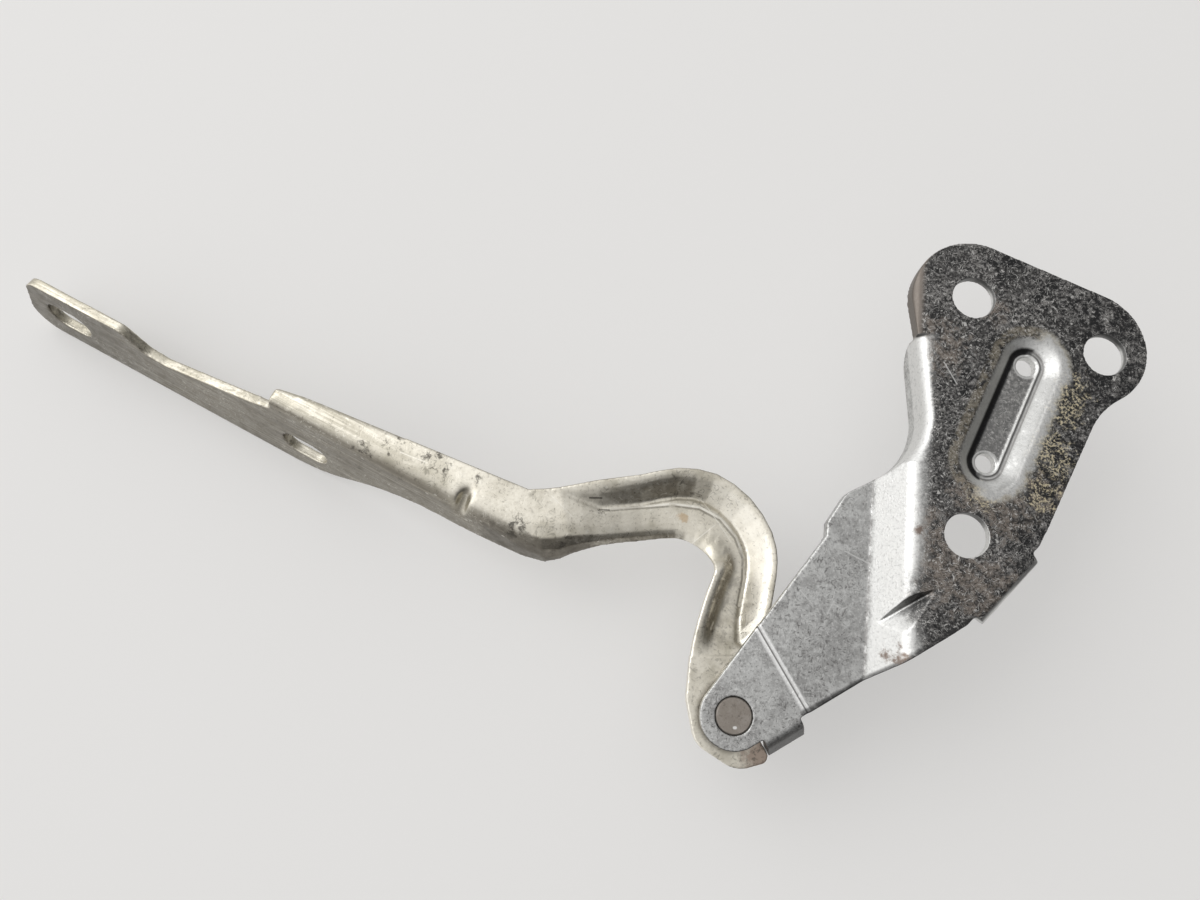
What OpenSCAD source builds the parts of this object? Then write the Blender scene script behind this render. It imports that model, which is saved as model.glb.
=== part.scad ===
// Bonnet hinge: a pressed body bracket and a gooseneck arm on one riveted pivot.
// Plan sizes are measured from the pivot axis. Z is the pivot direction, and
// Z = 0 is the mounting face of the bracket. The finished part is moved so that
// the lower bolt hole of the bracket is the origin.

/* [Mounting plate] */
// Thickness of the bracket sheet
plate_t = 2.5; // [2.2:0.1:2.8]
// Diameter of the body bolt holes
bolt_d = 11; // [9:0.5:12]
// Upper bolt hole, across from the pivot
bolt_a_x = 65.5; // [64:0.5:67]
// Upper bolt hole, up from the pivot
bolt_a_y = 104; // [102:0.5:107]
// Side bolt hole, across from the pivot
bolt_b_x = 98; // [96:0.5:101]
// Side bolt hole, up from the pivot
bolt_b_y = 88.5; // [86:0.5:91]
// Lower bolt hole, across from the pivot
bolt_c_x = 57; // [56:0.5:58]
// Lower bolt hole, up from the pivot
bolt_c_y = 42; // [40.5:0.5:43]
// Radius of the two round plate corners
corner_r = 15.5; // [14.5:0.5:16.5]
// Shift of the side corner towards the upper hole
corner_shift = 4.8; // [4:0.2:5.4]
// Radius of the hollow in the outer edge
waist_r = 20; // [14:1:26]

/* [Joggle] */
// Drop from the mounting face to the lug
lug_drop = 9; // [8:0.5:10]
// Distance of the ramp foot from the pivot
ramp_at = 30.5; // [29.5:0.5:31.5]
// Plan width of the ramp
ramp_w = 7.2; // [6.6:0.2:8]
// Slant of the ramp foot from the Y direction
ramp_skew = 7.3; // [6:0.1:9]
// Bend radius at the top of the ramp
ramp_r = 5; // [4:0.5:6]
// Angle of the steep side of the stiffening dart in that bend
dart_steep = 38; // [34:1:42]
// Angle of its flat side
dart_lie = 46; // [42:1:49]

/* [Side wall] */
// Upper end of the side wall, up from the pivot
wall_end_y = 94; // [92:0.5:95]
// Radius of the wall's free upper corner
wall_end_r = 7; // [5:0.5:9]
// Radius of the hollow sweep of the wall
wall_r = 18; // [15:0.5:20]
// Outside bend radius between plate and wall
bend_r = 4; // [3.5:0.25:4.5]
// Shoulder of the wall beside the lug, across from the pivot
shoulder_x = 31; // [30:0.5:32]
// Radius of that shoulder
shoulder_r = 6; // [4.5:0.5:7]

/* [Recess] */
// Lower end of the recess, across from the pivot
recess_x = 64.6; // [64:0.2:66]
// Lower end of the recess, up from the pivot
recess_y = 60.5; // [60:0.5:62]
// Length between the two end centres
recess_len = 28.8; // [26:0.4:30]
// Direction of the recess
recess_ang = 62; // [60:1:64]
// Depth of the recess
recess_depth = 2.4; // [1.8:0.1:3]
// Radius of the recess floor ends
floor_r = 4; // [3.6:0.1:4.4]
// Radius of the recess rim ends
rim_r = 8; // [7.4:0.1:8.4]
// Diameter of the pilot holes in the recess
pilot_d = 5; // [4:0.25:6]

/* [Lug and stop] */
// Radius of the round pivot pad
pad_r = 8.2; // [8:0.1:8.6]
// Step down from the lug to the pad
pad_step = 1; // [0.8:0.1:1.2]
// Distance of the step from the pivot
crease_at = 15.5; // [15:0.25:17]
// Start of the stop tab along the lower edge
tab_at = 3.4; // [3:0.1:4]
// Length of the stop tab
tab_len = 10.4; // [9:0.2:11]
// Drop of the stop tab below the pad face
tab_drop = 6; // [5.6:0.1:6.6]
// Outward lean of the stop tab
tab_lean = 25; // [20:1:30]
// Drop of the down-turned lip on the outer edge
lip_drop = 2; // [1.5:0.25:3]
// Outward lean of that lip
lip_lean = 25; // [20:1:35]

/* [Pivot] */
// Diameter of the rivet shank
pin_d = 9; // [8:0.25:9.5]
// Running clearance on radius
run_clear = 0.05; // [0.03:0.01:0.1]
// Side clearance between stacked faces
side_clear = 0.1; // [0.05:0.05:0.2]
// Wall of the pivot bush
bush_wall = 1; // [0.8:0.1:1.2]
// Thickness of the bush flange
bush_flange_t = 0.9; // [0.8:0.1:1.4]
// Diameter of the bush flange
bush_flange_d = 14.5; // [13:0.5:15.5]
// Thickness of the thrust washer
washer_t = 1; // [0.8:0.1:1.5]
// Diameter of the thrust washer
washer_d = 16; // [14:0.5:17]
// Diameter of the formed rivet head
head_d = 15; // [13:0.5:16]
// Height of the formed rivet head
head_h = 3; // [2.5:0.25:4]

/* [Arm] */
// Thickness of the arm sheet
arm_t = 2.8; // [2.6:0.1:3]
// Radius of the eye on the stop side
eye_r = 8.5; // [8.2:0.1:8.6]
// Reach of the stop nose from the pivot
nose_reach = 14; // [13.4:0.2:14.6]
// Gap between nose and stop tab in the open pose
stop_gap = 0.3; // [0.2:0.05:0.5]
// Depth of the pressed bead in the gooseneck
bead_depth = 5; // [4:0.25:5.5]
// Width of the rim beside the bead
bead_rim = 2; // [1.8:0.1:2.2]
// Plan width of the bead's long slope
bead_slope = 5; // [4.5:0.25:5.5]
// Rise from the bead's valley to its floor
bead_rise = 0.8; // [0.5:0.1:1]
// Bend length between web and bonnet flange
arm_bend = 6.5; // [5.5:0.25:7]
// Position of the dimple along that bend
dimple_at = 12; // [9:0.5:16]
// Radius of the dimple
dimple_r = 1.6; // [1.2:0.1:2]

/* [Bonnet flange] */
// Heading of the bend line, from +X
flange_heading = 151.4; // [150:0.2:153]
// Lean of the flange from the pivot direction
flange_lean = 15; // [13:0.5:17]
// Depth of the flange below the web face
flange_h = 29.5; // [28.5:0.5:31]
// Length of the flange beyond the gooseneck corner
flange_len = 156; // [150:1:160]
// Width of the bonnet slots
slot_w = 9; // [7:0.5:10]
// Length of the bonnet slots
slot_l = 14; // [11:0.5:16]
// Distance of the outer slot from the flange tip
slot_end = 16.5; // [15:0.5:19]
// Position of the inner slot along the flange
slot_near = 61; // [58:0.5:64]
// Depth of the slot line below the web face
slot_h = 18.6; // [18:0.2:19.4]

/* [Hidden] */
$fn = 64;
// A little more than nothing, for cuts that pass a face
eps = 0.01;
// Rounds stand this much proud, so that they cross the edges they run into
nip = 0.03;
// Reach of cuts that pass through everything
far = 300;
// Bolt hole centres
bolt_a = [bolt_a_x, bolt_a_y];
bolt_b = [bolt_b_x, bolt_b_y];
bolt_c = [bolt_c_x, bolt_c_y];
// Levels from the mounting face down
lug_z = -lug_drop;
pad_z = lug_z - pad_step;
pad_under_z = pad_z - plate_t;
bush_top_z = pad_under_z - side_clear;
arm_z = bush_top_z - bush_flange_t;
arm_under_z = arm_z - arm_t;
washer_z = arm_under_z - side_clear;
head_z = washer_z - washer_t - side_clear;
// Diameters of the pivot stack
pin_hole_d = pin_d + 2 * run_clear;
bush_d = pin_hole_d + 2 * bush_wall;
eye_hole_d = bush_d + 2 * eps;
// Plate corners
corner_a = bolt_a;
corner_b = bolt_b + corner_shift * unit(bolt_a - bolt_b);
edge_x = bolt_a_x - corner_r;
// Outer edge of the plate: hollow, lip and the two ends of the lip
waist_p = bolt_b + [-3.5, -15.2];
lip_top = bolt_c + [18, -2.5];
lip_low = bolt_c + [-2, -21.5];
// Upper edge of the lug, where the side wall ends in a small step
step_p = [25.2, 43.4];
step_out = [25.6, 46.8];
// Sweep of the side wall from the plate edge to its shoulder
sweep_ang = 25;
shoulder_y = 54.2;
sweep_p = [edge_x, shoulder_y + (edge_x - shoulder_x) * tan(sweep_ang)];
shoulder_p = [shoulder_x, shoulder_y];
// Straight lower edge of the lug, tangent to the pad
low_t = tangent_point([0, 0], pad_r, lip_low, -1);
low_ang = heading(lip_low - low_t);
high_t = tangent_point([0, 0], pad_r, step_p, 1);
// Valley of the dart, from the ramp up to the plate
dart_low = [35.3, 21.6];
dart_high = [48.6, 29.2];
dart_z = lug_z + (dart_low * polar(1, -ramp_skew) - ramp_at) * lug_drop / ramp_w;
dart_run = norm([norm(dart_high - dart_low), dart_z]);
// Bend line of the bonnet flange
bend_p = [-57, 46.4];
bend_u = [cos(flange_heading), sin(flange_heading)];
bend_in = [bend_u[1], -bend_u[0]];
// The swept strap lies this far inside the plates that it joins
tuck = 0.03;
// Points of one rounded corner in the strap's section
turn_n = 4;
// Steps between two stations of the strap
step_n = 2;

// Plane geometry
function unit(v) = v / norm(v);
function heading(v) = atan2(v[1], v[0]);
function polar(r, a) = r * [cos(a), sin(a)];
function xy(p) = [p[0], p[1]];
function cross2(a, b) = a[0] * b[1] - a[1] * b[0];
function mix(a, b, k) = a + (b - a) * k;
// Point where a line from p touches a circle, on one side of it
function tangent_point(c, r, p, side) =
    c + polar(r, heading(p - c) + side * acos(r / norm(p - c)));
// Corner b of a path, moved sideways by d to its left
function moved(a, b, c, d) =
    let (u = unit(b - a), v = unit(c - b), m = [-u[1], u[0]], n = [-v[1], v[0]])
    b + d * (m + n) / (1 + m * n);
function wrap(p, i) = p[(i + len(p)) % len(p)];
function convex(p, i) = cross2(xy(p[i] - wrap(p, i - 1)), xy(wrap(p, i + 1) - p[i])) > 0;
// The two tangent points and the centre of the round on corner i
function round_of(p, i) =
    let (
        b = xy(p[i]),
        u = unit(xy(wrap(p, i - 1)) - b),
        v = unit(xy(wrap(p, i + 1)) - b),
        half = acos(u * v) / 2,
        reach = p[i][2] / tan(half)
    )
    [b + u * reach, b + v * reach, b + unit(u + v) * p[i][2] / sin(half)];

// A counterclockwise outline of [x, y, radius] corners with true round corners
module rounded(p) {
    last = len(p) - 1;
    rounds = [for (i = [0:last]) p[i][2] > 0 ? round_of(p, i) : []];
    module slice(i) {
        intersection() {
            polygon([rounds[i][0], xy(p[i]), rounds[i][1], rounds[i][2]]);
            translate(rounds[i][2])
                circle(p[i][2] + nip);
        }
    }
    difference() {
        union() {
            polygon([for (i = [0:last]) each p[i][2] > 0 ? [rounds[i][0], rounds[i][1]] : [xy(p[i])]]);
            for (i = [0:last])
                if (p[i][2] > 0 && convex(p, i))
                    slice(i);
        }
        for (i = [0:last])
            if (p[i][2] > 0 && !convex(p, i))
                slice(i);
    }
}

// A plan shape raised between two levels
module slab(z0, z1) {
    translate([0, 0, z0])
        linear_extrude(z1 - z0)
            children();
}

// A straight slot with round ends along X
module slot(length, width) {
    square([length - width, width], center = true);
    for (side = [-1, 1])
        translate([side * (length - width) / 2, 0])
            circle(d = width);
}

// Plan outline of the whole bracket
module bracket_outline() {
    across = unit(corner_b - corner_a);
    top_n = [-across[1], across[0]];
    waist_t = tangent_point(corner_b, corner_r, waist_p, 1);
    rounded([
        [low_t[0], low_t[1], 0],
        [lip_low[0], lip_low[1], 6],
        [lip_top[0], lip_top[1], 6],
        [waist_p[0], waist_p[1], waist_r],
        [waist_t[0], waist_t[1], 0],
        each [for (c = [corner_b, corner_a]) [c[0] + top_n[0] * corner_r, c[1] + top_n[1] * corner_r, 0]],
        [edge_x, bolt_a_y, 0],
        [sweep_p[0], sweep_p[1], wall_r],
        [shoulder_p[0], shoulder_p[1], shoulder_r],
        [step_out[0], step_out[1], 0.5],
        [step_p[0], step_p[1], 0],
        [high_t[0], high_t[1], 0]
    ]);
    circle(pad_r + nip);
    for (c = [corner_a, corner_b])
        translate(c)
            circle(corner_r + nip);
}

// Everything in plan but the band that the side wall stands on
module wall_clearance() {
    p = [[edge_x, far], sweep_p, shoulder_p, step_out, step_p];
    in1 = moved(p[0], p[1], p[2], plate_t);
    in2 = moved(p[1], p[2], p[3], plate_t);
    in3 = moved(p[2], p[3], p[4], plate_t);
    crease = polar(crease_at + 1.7 * pad_step, low_ang);
    crease_u = polar(far, low_ang + 90);
    difference() {
        rounded([
            [crease[0] - crease_u[0], crease[1] - crease_u[1], 0],
            [far, -far, 0],
            [far, far, 0],
            [edge_x - far, far, 0],
            [edge_x - far, wall_end_y, 0],
            [in1[0], wall_end_y, 0],
            [in1[0], in1[1], wall_r + plate_t],
            [in2[0], in2[1], shoulder_r - plate_t],
            [in3[0], in3[1], 0],
            [in3[0] - far / 2, in3[1] - far / 2, 0]
        ]);
        translate(crease)
            rotate(low_ang)
                translate([-far, -far])
                    square([far, 2 * far]);
    }
}

// Height profile of the pressed sheet: lug, ramp and plate
ramp_foot = [ramp_at, lug_z, 0.6];
ramp_head = [ramp_at + ramp_w, 0, ramp_r];
under_shift = plate_t * tan(atan2(lug_drop, ramp_w) / 2);
module top_profile(bottom) {
    rounded([[-far, bottom, 0], [far, bottom, 0], [far, 0, 0], ramp_head, ramp_foot, [-far, lug_z, 0]]);
}
module under_profile() {
    rounded([
        [-far, -far, 0],
        [far, -far, 0],
        [far, -plate_t, 0],
        [ramp_head[0] + under_shift, -plate_t, ramp_r - plate_t],
        [ramp_foot[0] + under_shift, lug_z - plate_t, plate_t],
        [-far, lug_z - plate_t, 0]
    ]);
}
module along_ramp() {
    rotate([0, 0, -ramp_skew])
        rotate([90, 0, 0])
            linear_extrude(2 * far, center = true)
                children();
}

// Rounding of the bend between plate and side wall
module bend_corner() {
    sink = 3 * nip;
    difference() {
        translate([-1, -bend_r])
            square([bend_r + 1, bend_r + 1]);
        translate([bend_r - sink, sink - bend_r])
            circle(bend_r);
    }
}
module wall_bend_cut() {
    rounding = round_of([[edge_x, far], [edge_x, sweep_p[1], wall_r], shoulder_p], 1);
    centre = rounding[2];
    past = 6;
    translate([edge_x, wall_end_y, 0])
        rotate([90, 0, 0])
            linear_extrude(wall_end_y - rounding[0][1])
                bend_corner();
    translate([centre[0], centre[1], 0])
        rotate([0, 0, -90 + sweep_ang])
            rotate_extrude(angle = 90 - sweep_ang + past)
                translate([wall_r + 2 * nip, 0])
                    bend_corner();
}
// Free upper end of the side wall, rounded off
module wall_end_cut() {
    translate([edge_x - plate_t, wall_end_y - wall_end_r, pad_under_z])
        rotate([90, 0, 90])
            linear_extrude(3 * plate_t)
                difference() {
                    translate([0, -eps])
                        square([wall_end_r + eps, wall_end_r]);
                    translate([0, wall_end_r])
                        circle(wall_end_r);
                }
}

// A dished slot: floor and rim radii, floor level and rim level
module dish(r0, r1, z0, z1) {
    for (end = [0, recess_len])
        translate([end, 0, z0])
            cylinder(h = z1 - z0, r1 = r0, r2 = r1);
    rotate([90, 0, 90])
        linear_extrude(recess_len)
            polygon([[-r0, z0], [r0, z0], [r1, z1], [-r1, z1]]);
}
module at_recess() {
    translate([recess_x, recess_y, 0])
        rotate([0, 0, recess_ang])
            children();
}
recess_wall = (rim_r - floor_r) / recess_depth;

// A straight shape along the dart's valley
module along_dart(past, profile) {
    translate([dart_low[0], dart_low[1], dart_z])
        rotate([0, 0, heading(dart_high - dart_low)])
            rotate([0, asin(dart_z / dart_run), 0])
                translate([-past, 0, 0])
                    rotate([90, 0, 90])
                        linear_extrude(dart_run + 2 * past)
                            polygon(profile);
}
// The V of the dart, a thickness below its two sides
module dart_vee(past, thick) {
    top = far / 30;
    deep = -thick * (cos(dart_steep) + cos(dart_lie)) / sin(dart_steep + dart_lie);
    along_dart(past, [
        [(thick + deep * sin(dart_steep)) / cos(dart_steep), deep],
        [(thick + top * sin(dart_steep)) / cos(dart_steep), top],
        [-(thick + top * sin(dart_lie)) / cos(dart_lie), top]
    ]);
}

// Lip and stop tab: sheet turned down along a straight edge
module turned_edge(length, top, drop, lean) {
    turn = 90 - lean;
    outside_r = plate_t + 0.5;
    flat = outside_r * tan(turn / 2) + 0.05;
    reach = drop / tan(turn);
    root = 0.5;
    rotate([90, 0, 0])
        mirror([0, 0, 1])
            linear_extrude(length)
                rounded([
                    [-root, top - plate_t, 0],
                    [flat - plate_t * tan(turn / 2), top - plate_t, outside_r - plate_t],
                    [flat + reach - plate_t * sin(turn), top - drop - plate_t * cos(turn), 0],
                    [flat + reach, top - drop, 0],
                    [flat, top, outside_r],
                    [-root, top, 0]
                ]);
}
module at_edge(from, to, along) {
    u = unit(to - from);
    start = from + u * along;
    translate([start[0], start[1], 0])
        rotate([0, 0, heading(u) - 90])
            children();
}

module bracket_sheet() {
    difference() {
        intersection() {
            slab(pad_under_z, 1)
                bracket_outline();
            along_ramp()
                top_profile(-far);
        }
        difference() {
            intersection() {
                slab(-far, 1)
                    wall_clearance();
                along_ramp()
                    under_profile();
            }
            dart_vee(0, plate_t);
        }
        // Pad, one step below the lug
        rotate([0, 0, low_ang])
            rotate([90, 0, 0])
                linear_extrude(far, center = true)
                    polygon([
                        [-far, pad_z],
                        [crease_at, pad_z],
                        [crease_at + 2 * pad_step, lug_z + pad_step],
                        [crease_at + 2 * pad_step, 1],
                        [-far, 1]
                    ]);
        wall_bend_cut();
        wall_end_cut();
    }
}

module body_bracket() {
    color("dimgray")
        difference() {
            union() {
                bracket_sheet();
                at_recess()
                    dish(floor_r + plate_t / 2, rim_r + plate_t / 2, -recess_depth - plate_t, -plate_t / 2);
                at_edge(low_t, lip_low, tab_at)
                    turned_edge(tab_len, pad_z, tab_drop, tab_lean);
                at_edge(lip_low, lip_top, 3)
                    turned_edge(norm(lip_top - lip_low) - 6, 0, lip_drop, lip_lean);
            }
            dart_vee(3, 0);
            at_recess()
                dish(floor_r, rim_r + recess_wall, -recess_depth, 1);
            for (p = [bolt_a, bolt_b, bolt_c])
                translate([p[0], p[1], -plate_t - 1])
                    cylinder(h = plate_t + 2, d = bolt_d);
            at_recess()
                for (end = [0, recess_len])
                    translate([end, 0, -recess_depth - plate_t - 1])
                        cylinder(h = plate_t + 2, d = pilot_d);
            translate([0, 0, pad_under_z - 1])
                cylinder(h = plate_t + 2, d = pin_hole_d);
        }
}

// Stations along the strap, from the eye to the end of the web:
// outer edge, inner edge, bead depth, share of inner wall, drop of the skirt
function angle_station(s, web, drop) =
    let (p = bend_p + bend_u * s, o = p + bend_in * web)
    [o[0], o[1], p[0], p[1], 0, 0, drop];
stations = [
    [9.1, 10, -10.2, 10, 0, 1, 0],
    [9.5, 14, -9.6, 14, 0.3, 1, 0],
    [9.9, 17.5, -8.9, 17.5, bead_depth / 2, 1, 0],
    [10.8, 23.5, -7.3, 23, bead_depth, 1, 0],
    [12.4, 30.5, -4.8, 30, bead_depth, 1, 0],
    [13.6, 37.5, -2.2, 35.4, bead_depth, 0.9, 0.3],
    [12.6, 45, -2.4, 38.3, bead_depth, 0.5, 0.8],
    [7.5, 53.8, -4, 41.3, bead_depth, 0.15, 1.5],
    [-1, 60.3, -7.2, 44, bead_depth, 0, 2],
    [-11, 62, -12, 45.6, bead_depth, 0, 2.5],
    [-21, 60.2, -20.5, 44.8, bead_depth * 0.9, 0, 3],
    [-32, 58.8, -31, 43.4, bead_depth / 2, 0, 4],
    [-42, 56.9, -39, 42, 0, 0, 6.5],
    [-49, 56.4, -46.5, 41, 0, 0, 9.5],
    angle_station(0, 12, 12.5),
    angle_station(12, 10.8, 14),
    angle_station(24, 9.6, 14.5),
    angle_station(36, 8.4, 18),
    angle_station(44, 7.6, 22),
    angle_station(52, 6.8, 26.5),
    angle_station(60, 6, flange_h - 0.6),
    angle_station(66, 5.2, flange_h - 0.6),
    angle_station(70, 4.4, flange_h - 0.6)
];
// Smooth curve through the stations
function spline(a, b, c, d, k) =
    0.5 * (2 * b + (c - a) * k + (2 * a - 5 * b + 4 * c - d) * k * k + (3 * b - a - 3 * c + d) * k * k * k);
function station(i) = stations[max(0, min(len(stations) - 1, i))];
function between(i, k) = spline(station(i - 1), station(i), station(i + 1), station(i + 2), k);
strap_stations = [
    for (i = [0:len(stations) - 2], k = [0:step_n - 1]) between(i, k / step_n),
    stations[len(stations) - 1]
];
// Control points of one section: distance from the outer edge, and height
function section_points(s) =
    let (
        w = norm([s[2] - s[0], s[3] - s[1]]) - 1.5 * tuck,
        depth = max(0, s[4]),
        wall = max(0, min(1, s[5])),
        drop = max(0, s[6]),
        full = min(1, depth / 2),
        turn = min(90 - flange_lean, 2 * atan(0.6 * drop / arm_t)),
        rim = mix(0.04 * w, bead_rim, full),
        valley = mix(0.08 * w, bead_rim + bead_slope, full),
        floor_a = mix(0.12 * w, bead_rim + bead_slope + 1.2, full),
        floor_z = -max(0, depth - bead_rise * full),
        inner_z = floor_z * (1 - wall)
    )
    [
        [0, 0],
        [rim, 0],
        [valley, -depth],
        [floor_a, floor_z],
        [mix(mix(floor_a, w, 0.25), w - bead_rim - 3, wall), floor_z],
        [w - wall * bead_rim, inner_z],
        [w, inner_z] + drop * [cos(turn), -sin(turn)]
    ];
corner_reach = [0, 1.8, 1, 1, 1.6, arm_bend, 0];
before_share = [0, 0.9, 0.45, 0.45, 0.45, 0.6, 0];
after_share = [0, 0.45, 0.45, 0.45, 0.3, 0.85, 0];
function side_of(p, i) = unit(p[i + 1] - p[i]);
function left(u) = [-u[1], u[0]];
// Signed extra reach of corner i on the under side
function under_reach(p, i) =
    let (u = side_of(p, i - 1), v = side_of(p, i))
    arm_t * cross2(u, v) / (1 + u * v);
// The under side of a path
function lowered(p, t) = [
    p[0] - t * left(side_of(p, 0)),
    for (i = [1:5]) moved(p[i - 1], p[i], p[i + 1], -t),
    p[6] - t * left(side_of(p, 5))
];
// A path with its corners rounded
function softened(p, reaches) = [
    p[0],
    for (i = [1:5])
        let (
            a = norm(p[i - 1] - p[i]),
            b = norm(p[i + 1] - p[i]),
            reach = min(max(0.1, reaches[i]), before_share[i] * a, after_share[i] * b)
        )
        for (k = [0:turn_n - 1])
            let (
                f = k / (turn_n - 1),
                from = p[i] + (p[i - 1] - p[i]) * reach / a,
                to = p[i] + (p[i + 1] - p[i]) * reach / b
            )
            mix(mix(from, p[i], f), mix(p[i], to, f), f),
    p[6]
];
// A closed ring: over the upper side, then back along the under side
function flat_ring(s) =
    let (
        p = section_points(s),
        low = lowered(p, arm_t - 4 * tuck),
        low_reach = [0, for (i = [1:5]) corner_reach[i] + under_reach(p, i), 0],
        back = softened(low, low_reach),
        n = len(back)
    )
    [each softened(p, corner_reach), for (i = [n - 1:-1:0]) back[i]];
function section_ring(s) =
    let (dir = unit([s[2] - s[0], s[3] - s[1]]))
    [for (q = flat_ring(s)) [s[0] + dir[0] * q[0], s[1] + dir[1] * q[0], arm_z - tuck + q[1]]];
module strap() {
    rings = [for (s = strap_stations) section_ring(s)];
    n = len(rings[0]);
    half = n / 2;
    last = len(rings) - 1;
    polyhedron(
        points = [for (r = rings) each r],
        faces = [
            for (i = [0:half - 2]) each [
                [i, n - 1 - i, i + 1],
                [i + 1, n - 1 - i, n - 2 - i],
                [last * n + i, last * n + i + 1, last * n + n - 1 - i],
                [last * n + i + 1, last * n + n - 2 - i, last * n + n - 1 - i]
            ],
            for (j = [0:last - 1], i = [0:n - 1]) each [
                [j * n + i, j * n + (i + 1) % n, (j + 1) * n + i],
                [j * n + (i + 1) % n, (j + 1) * n + (i + 1) % n, (j + 1) * n + i]
            ]
        ]
    );
}

// Eye of the arm with its stop nose
module eye_outline() {
    stop_from = polar(tab_at - stop_gap, low_ang);
    out = polar(1, low_ang - 90);
    nose_in = stop_from + out * eye_r;
    nose_out = stop_from + out * nose_reach;
    rounded([
        [9.65, 14, 0],
        [-9.75, 14, 0],
        [-11, 4, 10],
        [-9.2, -6.6, 7],
        [0.5, -13, 8],
        [nose_out[0], nose_out[1], 2],
        [nose_in[0], nose_in[1], 0],
        [0, 0, 0],
        [eye_r, 0, 0]
    ]);
    circle(eye_r + nip);
}

// Frame of the bonnet flange: X along it, Y up its face
module at_flange() {
    translate([bend_p[0], bend_p[1], arm_z])
        rotate([0, 0, flange_heading])
            rotate([90 + flange_lean, 0, 0])
                children();
}
module flange_outline() {
    low = flange_h;
    mirror([0, 1])
        rounded([
            [56, 9.5, 0],
            [66, 8, 0],
            [70.5, 4.4, 0],
            [77, 6.8, 3],
            [flange_len - 50, 13.8, 6],
            [flange_len - 44, 13, 5],
            [flange_len - 37.5, 7.4, 5],
            [flange_len - 6, 8, 5],
            [flange_len, low, 7],
            [64, low, 10],
            [56, low - 1.4, 0]
        ]);
}

// Dimple across the bend, from the web to the flange
module bend_dimple() {
    web = [-0.86 * arm_bend, 0];
    face = 1.1 * arm_bend * [sin(flange_lean), -cos(flange_lean)];
    axis = mix(web, face, 0.5) + dimple_r * left(unit(face - web));
    turn = heading(face - web);
    translate([bend_p[0], bend_p[1], arm_z])
        rotate([0, 0, flange_heading])
            translate([dimple_at, axis[0], axis[1]])
                rotate([turn - 90, 0, 0])
                    cylinder(h = 4 * arm_bend, r = dimple_r, center = true);
}

module hinge_arm() {
    color("silver")
        difference() {
            union() {
                slab(arm_under_z, arm_z)
                    eye_outline();
                strap();
                at_flange()
                    linear_extrude(arm_t)
                        flange_outline();
            }
            bend_dimple();
            translate([0, 0, arm_under_z - 1])
                cylinder(h = arm_t + 2, d = eye_hole_d);
            at_flange()
                for (s = [flange_len - slot_end, slot_near])
                    translate([s, -slot_h, -1])
                        linear_extrude(arm_t + 2)
                            slot(slot_l, slot_w);
        }
}

module pivot_bush() {
    color("goldenrod")
        rotate_extrude()
            polygon([
                [pin_hole_d / 2, arm_under_z],
                [bush_d / 2, arm_under_z],
                [bush_d / 2, arm_z],
                [bush_flange_d / 2, arm_z],
                [bush_flange_d / 2, bush_top_z],
                [pin_hole_d / 2, bush_top_z]
            ]);
}

// Shank with a shallow domed head below, its other end spread flush in the pad
module pivot_rivet() {
    edge_h = head_h / 3;
    rise = head_h - edge_h;
    dome_r = (head_d * head_d / 4 + rise * rise) / (2 * rise);
    end_bevel = 0.4;
    color("slategray")
        rotate_extrude() {
            polygon([
                [0, head_z - eps],
                [pin_d / 2, head_z - eps],
                [pin_d / 2, pad_z - end_bevel / 2],
                [pin_d / 2 - end_bevel, pad_z + end_bevel / 2],
                [0, pad_z + end_bevel / 2]
            ]);
            translate([0, head_z - edge_h])
                square([head_d / 2, edge_h]);
            intersection() {
                translate([0, head_z - head_h + dome_r])
                    circle(dome_r);
                translate([0, head_z - head_h])
                    square([head_d / 2, rise]);
            }
        }
}

module thrust_washer() {
    color("lightgray")
        translate([0, 0, washer_z - washer_t])
            difference() {
                cylinder(h = washer_t, d = washer_d);
                translate([0, 0, -1])
                    cylinder(h = washer_t + 2, d = pin_d + 8 * run_clear);
            }
}

// The lower bolt hole becomes the origin
module placed() {
    translate([-bolt_c_x, -bolt_c_y, 0])
        children();
}

placed() body_bracket();
placed() hinge_arm();
placed() pivot_bush();
placed() pivot_rivet();
placed() thrust_washer();
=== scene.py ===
import bpy
import math
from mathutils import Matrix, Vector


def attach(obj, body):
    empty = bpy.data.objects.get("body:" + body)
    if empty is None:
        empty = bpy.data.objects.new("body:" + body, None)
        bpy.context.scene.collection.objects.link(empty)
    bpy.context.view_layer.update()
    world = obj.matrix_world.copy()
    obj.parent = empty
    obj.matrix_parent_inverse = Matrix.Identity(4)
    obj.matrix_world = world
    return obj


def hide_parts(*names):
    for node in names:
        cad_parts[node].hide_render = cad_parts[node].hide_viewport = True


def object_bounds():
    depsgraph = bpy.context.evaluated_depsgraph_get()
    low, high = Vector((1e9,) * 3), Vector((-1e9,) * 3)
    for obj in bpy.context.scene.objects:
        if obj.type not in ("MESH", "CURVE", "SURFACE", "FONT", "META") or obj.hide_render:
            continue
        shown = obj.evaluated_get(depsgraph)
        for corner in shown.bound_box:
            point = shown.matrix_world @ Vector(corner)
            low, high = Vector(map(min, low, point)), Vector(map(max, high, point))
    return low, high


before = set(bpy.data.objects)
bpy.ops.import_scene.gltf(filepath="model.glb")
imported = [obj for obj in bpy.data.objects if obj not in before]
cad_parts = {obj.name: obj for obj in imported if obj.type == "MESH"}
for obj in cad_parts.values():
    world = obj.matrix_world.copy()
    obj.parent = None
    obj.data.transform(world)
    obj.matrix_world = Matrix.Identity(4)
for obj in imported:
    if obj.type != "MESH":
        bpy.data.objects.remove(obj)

from types import SimpleNamespace
from mathutils import Matrix, Vector

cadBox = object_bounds()
scene = bpy.context.scene
scene.view_settings.view_transform = "Standard"
print("frame loaded", [round(v, 4) for v in cadBox[0]], [round(v, 4) for v in cadBox[1]])

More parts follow.
